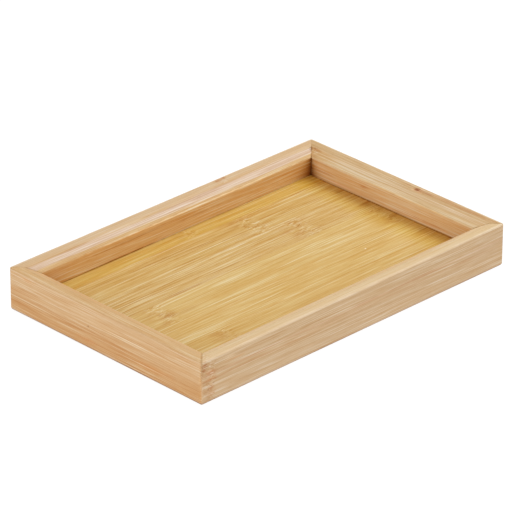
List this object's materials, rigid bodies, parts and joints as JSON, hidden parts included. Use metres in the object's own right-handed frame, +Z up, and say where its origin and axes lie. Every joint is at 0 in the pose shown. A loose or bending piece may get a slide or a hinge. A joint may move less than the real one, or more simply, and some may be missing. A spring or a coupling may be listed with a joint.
{
  "type": "bamboo tray",
  "caption": "Shallow rectangular bamboo tray with mitred rails, a sloped inner rim and a recessed panel of edge-glued strips for holding small things.",
  "frame": {"origin": "middle of the tray's footprint, on the surface that it stands on", "axes": "+X along the long side, +Y from the front long rail to the back one, +Z up"},
  "size_m": [0.23, 0.15, 0.0258],
  "materials": {
    "rail_face_bamboo": "satin clear lacquer on flat-grain bamboo",
    "rail_core_bamboo": "satin clear lacquer on flat-grain bamboo",
    "panel_bamboo": "satin clear lacquer on flat-grain bamboo strips",
    "spline_bamboo": "sawn, unfinished"
  },
  "bodies": {
    "root": {"front_rail_outer": "rail_face_bamboo", "front_rail_inner": "rail_core_bamboo", "right_rail_outer": "rail_face_bamboo", "right_rail_inner": "rail_core_bamboo", "back_rail_outer": "rail_face_bamboo", "back_rail_inner": "rail_core_bamboo", "left_rail_outer": "rail_face_bamboo", "left_rail_inner": "rail_core_bamboo", "panel_strip_1": "panel_bamboo", "panel_strip_2": "panel_bamboo", "panel_strip_3": "panel_bamboo", "panel_strip_4": "panel_bamboo", "panel_strip_5": "panel_bamboo", "panel_strip_6": "panel_bamboo", "panel_strip_7": "panel_bamboo", "mitre_spline_front_left": "spline_bamboo", "mitre_spline_front_right": "spline_bamboo", "mitre_spline_back_left": "spline_bamboo", "mitre_spline_back_right": "spline_bamboo"}
  },
  "joints": []
}
